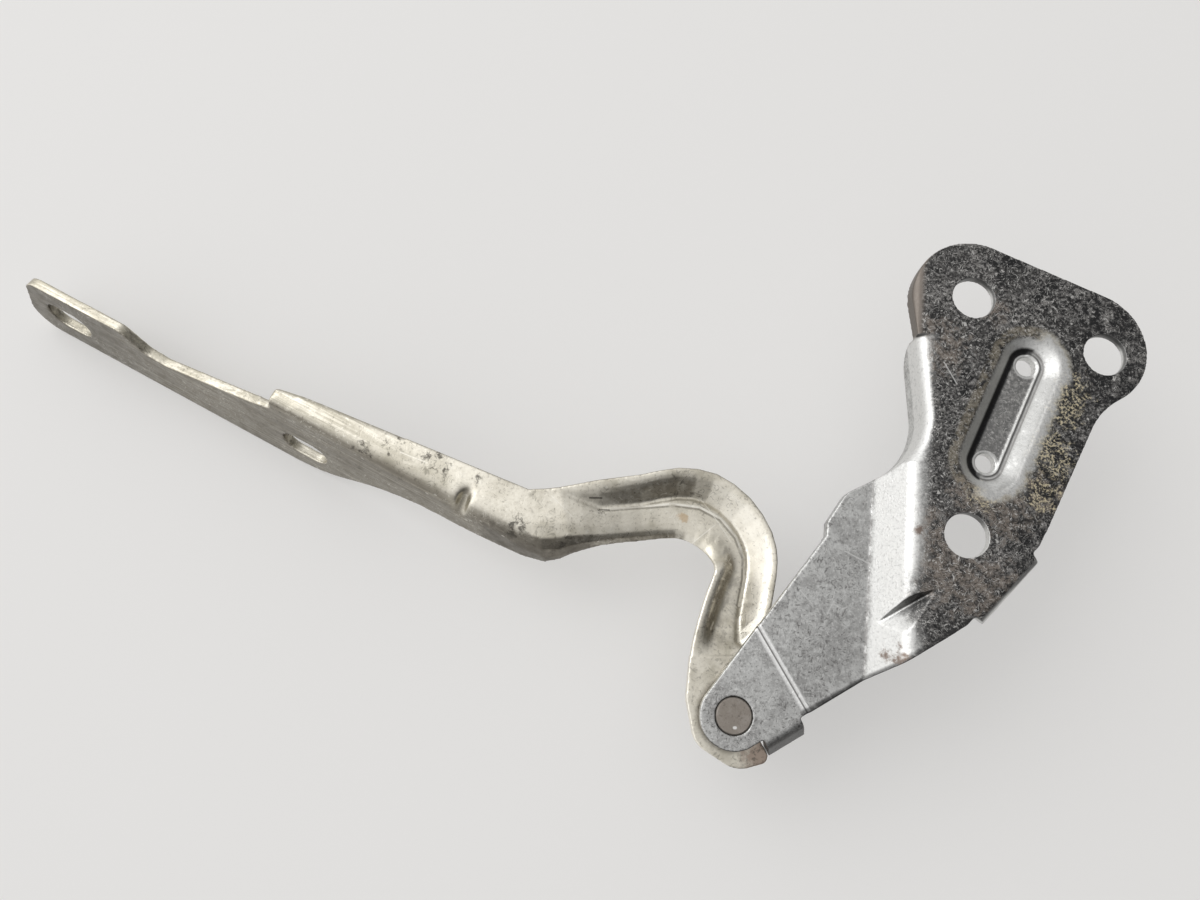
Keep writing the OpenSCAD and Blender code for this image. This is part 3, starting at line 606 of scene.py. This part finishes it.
# stained zinc of the bracket: nearly black on the mounting face, clean on the bends
bracketFinish = {
    "cleanAndHighlight": (0.78, 0.78, 0.765),
    "lug": (0.63, 0.632, 0.62),
    "lugDark": (0.39, 0.387, 0.38),
    "bright": (0.97, 0.97, 0.96),
    # colour of painted shade on the tab and on edges that look forward
    "tab": (0.045, 0.044, 0.043),
    "markAndShade": (0.17, 0.165, 0.16),
    "dark": (0.034, 0.0333, 0.033),
    "stain": (0.21, 0.203, 0.195),
    "brown": (0.23, 0.195, 0.165),
    "edge": (0.15, 0.128, 0.110),
    "rim": (0.36, 0.31, 0.22),
    "sootAndShadow": (0.012, 0.012, 0.013),
    "curl": (0.60, 0.59, 0.57),
    "yellow": (0.62, 0.545, 0.37),
    "rust": (0.17, 0.115, 0.085),
    "paleAndHighlight": (0.86, 0.86, 0.85),
    "wall": (0.43, 0.43, 0.42),
    "nearWallShade": (0.50, 0.49, 0.44),
    "grainSizes": {"Curl Size": 430.0, "Speck Size": 1500.0},
    # from the bends to the mounting face
    "metallic": (1.0, 0.5),
    "roughness": (0.40, 0.55),
    "bump": (0.35, 0.00018),
    # directions in the plane, and where each zone starts and is full, in metres
    "rampWay": (0.992, -0.127),
    "stepWay": (0.879, 0.4767),
    "stepAt": -0.05462,
    "unevenLevel": 0.0010,
    "unevenEdge": 0.006,
    "faceLevel": (-0.0010, -0.0002),
    "faceStart": (-0.0135, -0.0085),
    "faceBeyondWall": (0.0495, 0.0525),
    "lowLevel": (-0.0088, -0.0078),
    "tabStart": (-0.024, -0.030),
    "darkerWay": (1.0, -0.42),
    "darkerSide": (0.004, 0.020),
    "shearedStart": (0.0510, 0.0525),
    "shearedEnd": (0.012, 0.009),
    "foreStart": (-0.030, -0.020),
    "outerStart": (0.008, 0.012),
    "outerLevel": (-0.0016, -0.0008),
    "lip": [(0.018, -0.0025, 0.0), (-0.002, -0.0215, 0.0)],
    "lipEdge": (0.0050, 0.0035),
    "lipTop": (-0.0004, -0.0010),
    "dart": ((-0.0125, -0.0155, -0.0020), 0.0105),
    "dartSoil": (-0.0155, -0.0110),
    # recess: its axis, the way across it, and where its zones start and are full
    "recess": [(0.0076, 0.0185, 0.0), (0.0211, 0.0439, 0.0)],
    "recessWay": (0.883, -0.4695),
    "recessFar": (-0.0035, 0.0),
    "recessNear": (0.6, 0.3),
    "recessMouth": (0.0092, 0.0076),
    "recessBottom": (-0.0034, -0.0030),
    "recessAround": (0.0105, 0.0115),
    "recessRubbed": (0.0112, 0.0088),
    "floorTop": (-0.0016, -0.0021),
    "floorBottom": (-0.0030, -0.0026),
    "floorStart": (-0.002, 0.002),
    "wallTop": (-0.0001, -0.0004),
    "wallFoot": (0.0036, 0.0042),
    # lines by distance, half width and the share of it that is full, where that isn't the usual one
    # painted shade at the foot of the ramp, painted highlight and painted shadow along the step
    "rampFootShade": (-0.0207, 0.0004, 0.25),
    "stepHighlight": (0.0003, 0.0012, 0.583),
    "stepShadow": (0.00035, 0.00024, 0.333),
    # painted shadow at the foot of the recess wall, painted highlights on the pilot rims and the bead top,
    # painted shade beside the bead
    "recessFootShadow": (0.0041, 0.0013),
    "recessRim": (0.0090, 0.0018),
    "pilotRimHighlight": (0.0029, 0.0005),
    "beadHighlight": (0.0036, 0.0010),
    "beadInnerShade": (0.0035, 0.0003),
    "beadOuterShade": (0.0044, 0.0003),
    # stains by place and radius
    "wallSpots": [
        ((0.0150, 0.0120, -0.0012), 0.0080), ((0.0180, 0.0220, -0.0012), 0.0080),
        ((0.0220, 0.0300, -0.0012), 0.0080), ((0.0250, 0.0370, -0.0012), 0.0060),
    ],
    "sootSpots": [
        ((0.0400, 0.0600, 0.0), 0.0090), ((0.0182, 0.0704, 0.0), 0.0070), ((0.0280, 0.0628, 0.0), 0.0080),
        ((0.0440, 0.0566, 0.0), 0.0080), ((0.0413, 0.0386, 0.0), 0.0085), ((0.0347, 0.0491, 0.0), 0.0060),
        ((0.0290, 0.0226, 0.0), 0.0060), ((0.0231, 0.0120, 0.0), 0.0050), ((0.0154, -0.0007, 0.0), 0.0060),
        ((0.0043, 0.0385, 0.0), 0.0050), ((0.0125, 0.0490, 0.0), 0.0040),
    ],
    "brownSpots": [
        ((-0.0023, 0.0489, 0.0), 0.0090), ((0.0136, 0.0583, 0.0), 0.0045), ((-0.0110, 0.0013, 0.0), 0.0080),
        ((0.0033, 0.0107, 0.0), 0.0080), ((0.0205, 0.0099, 0.0), 0.0070), ((0.0104, 0.0049, 0.0), 0.0080),
        ((-0.0060, -0.0080, 0.0), 0.0110), ((0.0030, -0.0130, 0.0), 0.0100),
    ],
    "yellowSpots": [
        ((0.0305, 0.0370, 0.0), 0.0060), ((0.0284, 0.0314, 0.0), 0.0055), ((0.0230, 0.0215, 0.0), 0.0062),
        ((0.0245, 0.0174, 0.0), 0.0050), ((0.0200, 0.0099, 0.0), 0.0055), ((0.0052, 0.0099, 0.0), 0.0045),
    ],
    "rustSpots": [
        ((-0.0193, -0.0286, -0.0060), 0.0030), ((-0.0168, -0.0282, -0.0030), 0.0034),
        ((-0.0117, 0.0013, 0.0), 0.0015),
    ],
    "lugSpots": [
        ((-0.0246, 0.0015, -0.0090), 0.0050), ((-0.0233, -0.0048, -0.0090), 0.0040),
        ((-0.0255, -0.0196, -0.0090), 0.0050), ((-0.0303, -0.0244, -0.0090), 0.0060),
        ((-0.0319, -0.0291, -0.0090), 0.0050), ((-0.0432, -0.0337, -0.0090), 0.0050),
    ],
    # marks by the places they run through
    # the border is a painted shadow along the lower edge of the bracket
    "borderShadowWidth": 0.0012,
    "borderShadow": [[
        (-0.0398, -0.0414), (-0.0251, -0.0340), (-0.0187, -0.0305), (-0.0161, -0.0289), (-0.0011, -0.0205),
    ]],
    "scratchWidth": 0.00022,
    "scratches": [
        [(-0.0275, -0.0026), (-0.0219, -0.0056)],
        [(-0.0012, 0.0443), (0.0015, 0.0385)],
        [(-0.0029, -0.0060), (-0.0011, -0.0024)],
        [(-0.0394, -0.0122), (-0.0367, -0.0156)],
        [(-0.0330, -0.0180), (-0.0312, -0.0150)],
    ],
}


# grey lug with dark patches and pale curls
def lugColour(surface, finish):
    tree, grain = surface.tree, surface.grain
    colour = layer(tree, finish["lug"], finish["lugDark"], ramp(tree, grain["Mottle"], 0.42, 0.62, 0.1, 0.8))
    colour = layer(tree, colour, finish["lugDark"], patchesMask(surface, finish["lugSpots"], 1.1), 0.6)
    colour = layer(tree, colour, finish["lugDark"], ramp(tree, grain["Cloud"], 0.50, 0.64, 0.0, 0.45))
    colour = layer(tree, colour, finish["cleanAndHighlight"], ramp(tree, grain["Speck"], 0.46, 0.36), 0.5)
    colour = layer(tree, colour, finish["markAndShade"], ramp(tree, grain["Speck"], 0.55, 0.66), 0.6)
    colour = layer(tree, colour, finish["markAndShade"], grain["Dash"], ramp(tree, grain["Cloud"], 0.36, 0.54), 0.8)
    return layer(tree, colour, finish["cleanAndHighlight"], grain["Curl"], 0.45)


# clean zinc of the bends
def bendColour(surface, finish):
    tree, grain = surface.tree, surface.grain
    colour = layer(tree, finish["cleanAndHighlight"], finish["lug"], ramp(tree, grain["Speck"], 0.40, 0.60, 0.0, 0.35))
    colour = layer(tree, colour, finish["lugDark"], ramp(tree, grain["Speck"], 0.56, 0.68), 0.40)
    return layer(tree, colour, finish["lugDark"], grain["Dash"], 0.25)


# soiled mounting face: soot, brown and yellow stains, pale curls
def soiledColour(surface, finish):
    tree, grain = surface.tree, surface.grain
    mottle = grain["Mottle"]
    fine = plus(tree, times(tree, grain["Speck"], -0.6), times(tree, mottle, 0.4))
    colour = layer(tree, finish["dark"], finish["stain"], ramp(tree, fine, -0.17, -0.03))
    colour = layer(tree, colour, finish["dark"], ramp(tree, grain["Cloud"], 0.56, 0.42), 0.55)
    brown = patchesMask(surface, finish["brownSpots"], 0.9)
    colour = layer(tree, colour, finish["brown"], brown, ramp(tree, mottle, 0.36, 0.58), 0.8)
    sootAndShadow = patchesMask(surface, finish["sootSpots"], 0.9)
    colour = layer(tree, colour, finish["sootAndShadow"], sootAndShadow, ramp(tree, mottle, 0.60, 0.44), 0.9)
    colour = layer(tree, colour, finish["sootAndShadow"], ramp(tree, grain["Speck"], 0.54, 0.64), 0.55)
    colour = layer(tree, colour, finish["curl"], ramp(tree, grain["Speck"], 0.44, 0.34), 0.35)
    colour = layer(tree, colour, finish["sootAndShadow"], grain["Dash"], 0.85)
    colour = layer(tree, colour, finish["curl"], grain["Curl"], 0.9)
    # darker towards the lower right of the face
    side = ramp(tree, heading(tree, surface.split, finish["darkerWay"]), *finish["darkerSide"], 0.0, 0.55)
    colour = layer(tree, colour, finish["sootAndShadow"], side, ramp(tree, mottle, 0.60, 0.42))
    flecks = larger(tree, ramp(tree, grain["Speck"], 0.50, 0.42), grain["Curl"])
    flecks = times(tree, ramp(tree, mottle, 0.38, 0.50), flecks)
    yellow = patchesMask(surface, finish["yellowSpots"], 1.0)
    return layer(tree, colour, finish["yellow"], yellow, flecks, 0.9)


# painted shade in the crease at the foot of the ramp, painted highlight and painted shadow along the pressed
# step beside the rivet pad, and painted shade on the turned tab
def stepLayers(surface, finish, colour, ground, low):
    tree, looks = surface.tree, surface.looks
    # painted shade in the crease at the foot of the ramp
    foot = bandMask(tree, ground, *finish["rampFootShade"])
    colour = layer(tree, colour, finish["markAndShade"], foot, ramp(tree, surface.grain["Mottle"], 0.35, 0.55), 0.7)
    step = maths(tree, "SUBTRACT", heading(tree, surface.split, finish["stepWay"]), finish["stepAt"])
    # painted highlight and painted shadow along the step beside the rivet pad
    colour = layer(tree, colour, finish["bright"], bandMask(tree, step, *finish["stepHighlight"]), low, 0.6)
    colour = layer(tree, colour, finish["markAndShade"], bandMask(tree, step, *finish["stepShadow"]), low, 0.85)
    # painted shade on the tab where it looks forward or right
    turned = larger(tree, looks["Front"], looks["Right"])
    tab = ramp(tree, surface.split["X"], *finish["tabStart"])
    return layer(tree, colour, finish["tab"], turned, tab, 0.85)


# recess: soiled floor, painted shade on the near wall and a painted shadow at its foot, clean far wall,
# painted highlight and painted shade lines on the bead, painted highlight on the pilot rims
def recessLayers(surface, finish, colour, soiled, recess, farSide):
    tree, looks, split = surface.tree, surface.looks, surface.split
    height = split["Z"]
    floor = times(tree, ramp(tree, height, *finish["floorTop"]), ramp(tree, height, *finish["floorBottom"]))
    floor = times(tree, floor, looks["Flat"], ramp(tree, split["X"], *finish["floorStart"]))
    colour = layer(tree, colour, layer(tree, soiled, finish["cleanAndHighlight"], 0.25), floor)
    inside = ramp(tree, recess, *finish["recessMouth"])
    inside = times(tree, inside, ramp(tree, height, *finish["recessBottom"]))
    nearSide = times(tree, inside, ramp(tree, farSide, *finish["recessNear"]))
    # painted shade on the near wall where it looks right
    colour = layer(tree, colour, finish["nearWallShade"], nearSide, looks["Right"], 0.7)
    # painted shadow along the foot of the near wall
    foot = bandMask(tree, recess, *finish["recessFootShadow"])
    colour = layer(tree, colour, finish["sootAndShadow"], nearSide, foot, 0.95)
    worn = times(tree, patchesMask(surface, finish["wallSpots"], 0.5), ramp(tree, height, *finish["wallTop"]))
    colour = layer(tree, colour, finish["wall"], worn, ramp(tree, recess, *finish["wallFoot"]), 0.8)
    farFloor = times(tree, inside, farSide)
    # painted highlight on top of the bead and painted shade on either side of it
    colour = layer(tree, colour, finish["cleanAndHighlight"], farFloor, bandMask(tree, recess, *finish["beadHighlight"]), 0.75)
    colour = layer(tree, colour, finish["markAndShade"], farFloor, bandMask(tree, recess, *finish["beadInnerShade"]), 0.85)
    colour = layer(tree, colour, finish["markAndShade"], farFloor, bandMask(tree, recess, *finish["beadOuterShade"]), 0.75)
    for centre in finish["recess"]:
        # painted highlight round the pilot holes
        rim = bandMask(tree, spotApart(surface, centre), *finish["pilotRimHighlight"])
        colour = layer(tree, colour, finish["cleanAndHighlight"], rim, inside, 0.7)
    return colour


# stained rim of the recess: yellowish on the far side, brown on the near one
def rimLayers(surface, finish, soiled, rubbed, recess, farSide):
    tree, mottle = surface.tree, surface.grain["Mottle"]
    tinge = times(tree, rubbed, inverse(tree, rubbed), ramp(tree, mottle, 0.38, 0.55))
    soiled = layer(tree, soiled, finish["yellow"], tinge, 1.4)
    nearRim = times(tree, bandMask(tree, recess, *finish["recessRim"]), inverse(tree, farSide))
    return layer(tree, soiled, finish["rim"], nearRim, ramp(tree, mottle, 0.36, 0.54), 0.35)


# sheared sides, lip, painted shade on front edges, the painted shadow along the border below, and outer edges
# darkened partly as painted shade
def bracketEdgeLayers(surface, finish, colour, level, recess, dart):
    tree, looks, split = surface.tree, surface.looks, surface.split
    sheared = times(tree, looks["Left"], ramp(tree, split["Y"], *finish["shearedStart"]))
    colour = layer(tree, colour, finish["edge"], sheared, ramp(tree, split["X"], *finish["shearedEnd"]), 0.95)
    lip = ramp(tree, lineApart(surface, *finish["lip"]), *finish["lipEdge"])
    lip = times(tree, lip, ramp(tree, split["Z"], *finish["lipTop"]))
    colour = layer(tree, colour, finish["lug"], lip, 0.8)
    around = ramp(tree, recess, *finish["recessAround"])
    # painted shade on edges that look forward, outside the recess
    fore = times(tree, looks["Front"], around, inverse(tree, dart), inverse(tree, lip))
    colour = layer(tree, colour, finish["tab"], fore, ramp(tree, split["X"], *finish["foreStart"]), 0.8)
    # painted shadow along the lower border
    borderShadow = strokesMask(surface, finish["borderShadow"], finish["borderShadowWidth"])
    broken = ramp(tree, surface.grain["Mottle"], 0.30, 0.50, 0.5, 1.0)
    colour = layer(tree, colour, finish["dark"], borderShadow, broken, 0.75)
    # outer edges on the right darkened, partly painted shade
    outer = times(tree, inverse(tree, looks["Flat"]), ramp(tree, level, *finish["outerLevel"]), around)
    return layer(tree, colour, finish["dark"], outer, ramp(tree, split["X"], *finish["outerStart"]), 0.7)


def makeBracketFinish(finish):
    material, tree, shader = startMaterial("bracketZincFinish", 1.0, 0.45)
    surface = readPressing(tree, finish["grainSizes"])
    grain, edges, looks, split = surface.grain, surface.edges, surface.looks, surface.split
    level = uneven(tree, split["Z"], grain["Cloud"], finish["unevenLevel"])
    low = inverse(tree, ramp(tree, level, *finish["lowLevel"]))  # lug, pad and what lies lower
    ground = heading(tree, split, finish["rampWay"])
    across = uneven(tree, ground, grain["Mottle"], finish["unevenEdge"])
    beyond = ramp(tree, across, *finish["faceStart"])
    beyond = larger(tree, beyond, ramp(tree, split["Y"], *finish["faceBeyondWall"]))
    face = times(tree, ramp(tree, level, *finish["faceLevel"]), looks["Flat"], beyond)
    recess = lineApart(surface, *finish["recess"])
    farSide = ramp(tree, heading(tree, split, finish["recessWay"]), *finish["recessFar"])
    dart = patchMask(surface, *finish["dart"], 0.2)
    soiled = soiledColour(surface, finish)
    colour = layer(tree, bendColour(surface, finish), lugColour(surface, finish), low)
    colour = stepLayers(surface, finish, colour, ground, low)
    colour = recessLayers(surface, finish, colour, soiled, recess, farSide)
    colour = layer(tree, colour, soiled, dart, ramp(tree, across, *finish["dartSoil"]), 0.85)
    # painted shade on the flank of the dart that looks forward or right
    colour = layer(tree, colour, finish["dark"], dart, larger(tree, looks["Front"], looks["Right"]), 0.75)
    rubbed = ramp(tree, uneven(tree, recess, grain["Mottle"], finish["unevenEdge"]), *finish["recessRubbed"])
    rubbed = times(tree, rubbed, farSide)
    face = times(tree, face, inverse(tree, times(tree, rubbed, 0.8)))
    colour = layer(tree, colour, rimLayers(surface, finish, soiled, rubbed, recess, farSide), face)
    colour = bracketEdgeLayers(surface, finish, colour, level, recess, dart)
    colour = layer(tree, colour, finish["rust"], patchesMask(surface, finish["rustSpots"], 0.8), 0.85)
    # painted shade in the hollows
    colour = layer(tree, colour, finish["markAndShade"], edges["Hollow"], 0.6)
    # painted highlight on the ridges, stronger on the lug
    colour = layer(tree, colour, finish["paleAndHighlight"], edges["Ridge"], blendValue(tree, low, 0.15, 0.65))
    scratched = strokesMask(surface, finish["scratches"], finish["scratchWidth"])
    colour = layer(tree, colour, finish["cleanAndHighlight"], scratched, looks["Up"], 0.6)
    wire(tree, colour, shader.inputs["Base Color"])
    wire(tree, blendValue(tree, face, *finish["metallic"]), shader.inputs["Metallic"])
    wire(tree, blendValue(tree, face, *finish["roughness"]), shader.inputs["Roughness"])
    addBump(tree, shader, grain["Height"], *finish["bump"])
    return material


# dull brownish steel of the rivet, darker round its rim as painted shade of the gap, with one painted
# highlight
rivetFinish = {
    "middle": (0.33, 0.295, 0.26),
    "pale": (0.40, 0.365, 0.33),
    "rim": (0.14, 0.128, 0.115),
    "glint": (0.85, 0.84, 0.82),
    "grainSizes": {"Curl Size": 500.0, "Speck Size": 1700.0},
    "roughness": (0.42, 0.6),
    "bump": (0.25, 0.0001),
    "rimStart": (0.00405, 0.004455),
    "glintPlace": [(-0.0571, -0.0447, 0.0), (-0.0568, -0.0447, 0.0)],
    "glintSize": (0.0005, 0.0002),
}


def makeRivetFinish(finish):
    material, tree, shader = startMaterial("rivetSteelFinish", 1.0, 0.5)
    surface = readSurface(tree, finish["grainSizes"])
    grain = surface.grain
    colour = layer(tree, finish["middle"], finish["pale"], ramp(tree, grain["Mottle"], 0.40, 0.66))
    colour = layer(tree, colour, finish["rim"], ramp(tree, grain["Speck"], 0.56, 0.72, 0.0, 0.6))
    # painted shade of the gap round the rim
    rim = ramp(tree, axisApart(surface, pivotPlace), *finish["rimStart"])
    colour = layer(tree, colour, finish["rim"], rim)
    # painted highlight
    glint = ramp(tree, lineApart(surface, *finish["glintPlace"]), *finish["glintSize"])
    colour = layer(tree, colour, finish["glint"], glint)
    wire(tree, colour, shader.inputs["Base Color"])
    wire(tree, ramp(tree, grain["Speck"], 0.35, 0.7, *finish["roughness"]), shader.inputs["Roughness"])
    addBump(tree, shader, grain["Height"], *finish["bump"])
    return material


# bearing bronze and plain washer steel, both hardly seen
bearingFinishes = {
    "pivot_bush": {
        "name": "bushBronzeFinish", "roughness": 0.45, "bump": (0.15, 0.0001),
        "cleanAndHighlight": (0.50, 0.36, 0.17), "worn": (0.33, 0.24, 0.12),
    },
    "thrust_washer": {
        "name": "washerSteelFinish", "roughness": 0.4, "bump": (0.15, 0.0001),
        "cleanAndHighlight": (0.62, 0.62, 0.61), "worn": (0.40, 0.40, 0.39),
    },
}


def makeBearingFinish(finish):
    material, tree, shader = startMaterial(finish["name"], 1.0, finish["roughness"])
    grain = readSurface(tree).grain
    colour = layer(tree, finish["cleanAndHighlight"], finish["worn"], ramp(tree, grain["Speck"], 0.4, 0.65))
    wire(tree, colour, shader.inputs["Base Color"])
    addBump(tree, shader, grain["Height"], *finish["bump"])
    return material


armMaterial = makeArmFinish(armFinish)
bracketMaterial = makeBracketFinish(bracketFinish)
nodeMaterials = {"pivot_rivet": makeRivetFinish(rivetFinish)}
for nodeName, bearing in bearingFinishes.items():
    nodeMaterials[nodeName] = makeBearingFinish(bearing)
print("finishes made")

# pressings: a merged copy of the solid, remeshed fine so that sheared edges and bends come out soft;
# drawn bands are rounded more, and the floor of the recess has a raised bead
recessStart, recessEnd = bracketFinish["recess"]
lipStart, lipEnd = bracketFinish["lip"]
pressingSettings = {
    "bracketPressing": {
        "node": "body_bracket", "body": "bracket", "slot": "bracket_zinc", "material": bracketMaterial,
        "voxel": 0.00028, "smooth": 3, "keep": 0.40,
        "drawn": [
            {"start": recessStart, "end": recessEnd,
             "inner": 0.0055, "outer": 0.0112, "lowest": -0.0100, "rounds": 40},
            {"start": lipStart, "end": lipEnd,
             "inner": -1.0, "outer": 0.0035, "lowest": -0.0100, "rounds": 30},
        ],
        "beads": [
            {"start": recessStart, "end": recessEnd,
             "inner": 0.0029, "outer": 0.0038, "lowest": -0.0030, "rise": 0.00035},
        ],
    },
    "armPressing": {
        "node": "hinge_arm", "body": "arm", "slot": "arm_zinc", "material": armMaterial,
        "voxel": 0.00030, "smooth": 5, "keep": 0.45,
        "drawn": [
            {"start": (-0.1680, 0.0375, 0.0), "end": (-0.1120, 0.0045, 0.0),
             "inner": -1.0, "outer": 0.0065, "lowest": -0.0230, "rounds": 60},
            {"start": (-0.1760, 0.0420, 0.0), "end": (-0.1720, 0.0400, 0.0),
             "inner": -1.0, "outer": 0.0050, "lowest": -0.0200, "rounds": 60},
        ],
        "beads": [],
    },
}
mergeDistance = 0.000001
smoothShare = 0.5
beadOverlap = 0.001  # how far a bead reaches past its axis, to the near side


# points of a piece in a band along a line, seen from above
def bandPoints(piece, band, farSide=False):
    start = Vector(band["start"])
    way = Vector(band["end"]) - start
    near = []
    for vertex in piece.data.vertices:
        reach = vertex.co - start
        reach.z = 0.0
        share = min(1.0, max(0.0, reach.dot(way) / way.length_squared))
        apart = (reach - way * share).length
        aside = way.cross(reach).z / way.length
        if farSide and aside > beadOverlap:
            continue
        if vertex.co.z > band["lowest"] and band["inner"] < apart < band["outer"]:
            near.append(vertex.index)
    return near


def applyModifier(piece, kind, **settings):
    change = piece.modifiers.new("change", kind)
    for name, value in settings.items():
        setattr(change, name, value)
    bpy.ops.object.modifier_apply(modifier="change")


def applyInBand(piece, near, kind, **settings):
    piece.vertex_groups.new(name="band").add(near, 1.0, "REPLACE")
    applyModifier(piece, kind, vertex_group="band", **settings)
    piece.vertex_groups.clear()


def makePressing(name, settings):
    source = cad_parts[settings["node"]]
    bpy.ops.object.select_all(action="DESELECT")
    piece = bpy.data.objects.new(name, source.data.copy())
    scene.collection.objects.link(piece)
    bpy.context.view_layer.objects.active = piece
    piece.select_set(True)
    bpy.ops.object.mode_set(mode="EDIT")
    bpy.ops.mesh.select_all(action="SELECT")
    bpy.ops.mesh.remove_doubles(threshold=mergeDistance)
    bpy.ops.object.mode_set(mode="OBJECT")
    voxel = settings["voxel"] * 1.0
    applyModifier(piece, "REMESH", mode="VOXEL", voxel_size=voxel)
    for band in settings["drawn"]:
        near = bandPoints(piece, band)
        applyInBand(piece, near, "SMOOTH", factor=smoothShare, iterations=band["rounds"])
    for band in settings["beads"]:
        near = bandPoints(piece, band, True)
        applyInBand(piece, near, "DISPLACE", direction="Z", mid_level=0.0, strength=band["rise"])
    applyModifier(piece, "SMOOTH", factor=smoothShare, iterations=settings["smooth"])
    applyModifier(piece, "DECIMATE", ratio=settings["keep"])
    bpy.ops.object.shade_smooth()
    piece.data.materials.clear()
    piece.data.materials.append(settings["material"])
    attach(piece, settings["body"])
    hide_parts(settings["node"])
    piece.data.calc_loop_triangles()
    print(name, len(piece.data.loop_triangles), "triangles")


for pressingName, pressing in pressingSettings.items():
    makePressing(pressingName, pressing)

for nodeName, material in nodeMaterials.items():
    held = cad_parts[nodeName]
    held.data.materials.clear()
    held.data.materials.append(material)

# pale floor just under the hinge; part of what is seen of it is plain paper tone, so shadows stay light
floorSettings = {
    "colour": (0.86, 0.852, 0.84),
    "roughness": 0.75,
    "gloss": 0.2,
    "paleColour": (0.765, 0.757, 0.745),
    "paleShare": 0.4,
    "size": 6.0,
    "gap": 0.0001,
}


def addFloor(settings):
    bpy.ops.object.select_all(action="DESELECT")
    place = (0.0, 0.0, cadBox[0][2] - settings["gap"])
    bpy.ops.mesh.primitive_plane_add(size=settings["size"], location=place)
    floor = bpy.context.object
    floor.name = "paleFloor"
    material, tree, shader = startMaterial("paleFloorFinish", 0.0, settings["roughness"])
    shader.inputs["Base Color"].default_value = settings["colour"] + (1.0,)
    shader.inputs["Specular IOR Level"].default_value = settings["gloss"]
    pale = addNode(tree, "ShaderNodeEmission", {"Color": settings["paleColour"] + (1.0,)})
    path = tree.nodes.new("ShaderNodeLightPath").outputs
    seen = larger(tree, path["Is Camera Ray"], path["Is Glossy Ray"])
    seen = larger(tree, seen, path["Is Transmission Ray"])
    both = tree.nodes.new("ShaderNodeMixShader")
    wire(tree, times(tree, seen, settings["paleShare"]), both.inputs[0])
    wire(tree, shader.outputs[0], both.inputs[1])
    wire(tree, pale.outputs[0], both.inputs[2])
    wire(tree, both.outputs[0], tree.nodes["Material Output"].inputs["Surface"])
    floor.data.materials.append(material)


addFloor(floorSettings)

# one soft lamp from the upper left
lampSettings = {"place": (-0.75, 0.55, 0.85), "aim": (-0.08, 0.0, 0.0), "size": 0.9, "power": 3.6}


def addLamp(name, settings):
    data = bpy.data.lights.new(name, "AREA")
    data.energy = settings["power"]
    data.size = settings["size"]
    lamp = bpy.data.objects.new(name, data)
    scene.collection.objects.link(lamp)
    lamp.location = settings["place"]
    aim = Vector(settings["aim"]) - Vector(settings["place"])
    lamp.rotation_euler = aim.to_track_quat("-Z", "Y").to_euler()


addLamp("keySoftbox", lampSettings)

# room light: bright on the left, dim on the right and in front
roomSettings = {
    "colour": (1.0, 0.995, 0.99),
    "base": 0.80,
    "left": 0.62,
    "behind": 0.08,
    "front": 0.45,
    "least": 0.15,
    "most": 1.25,
}


def addRoom(settings):
    world = bpy.data.worlds.new("softRoom")
    scene.world = world
    world.use_nodes = True
    tree = world.node_tree
    light = tree.nodes["Background"]
    light.inputs["Color"].default_value = settings["colour"] + (1.0,)
    way = tree.nodes.new("ShaderNodeTexCoord")
    split = tree.nodes.new("ShaderNodeSeparateXYZ")
    wire(tree, way.outputs["Generated"], split.inputs[0])
    x, y = split.outputs["X"], split.outputs["Y"]
    total = maths(tree, "SUBTRACT", settings["base"], times(tree, x, settings["left"]))
    total = plus(tree, total, times(tree, larger(tree, y, 0.0), settings["behind"]))
    total = plus(tree, total, times(tree, maths(tree, "MINIMUM", y, 0.0), settings["front"]))
    total = maths(tree, "MINIMUM", larger(tree, total, settings["least"]), settings["most"])
    wire(tree, total, light.inputs["Strength"])


addRoom(roomSettings)
print("stage set")
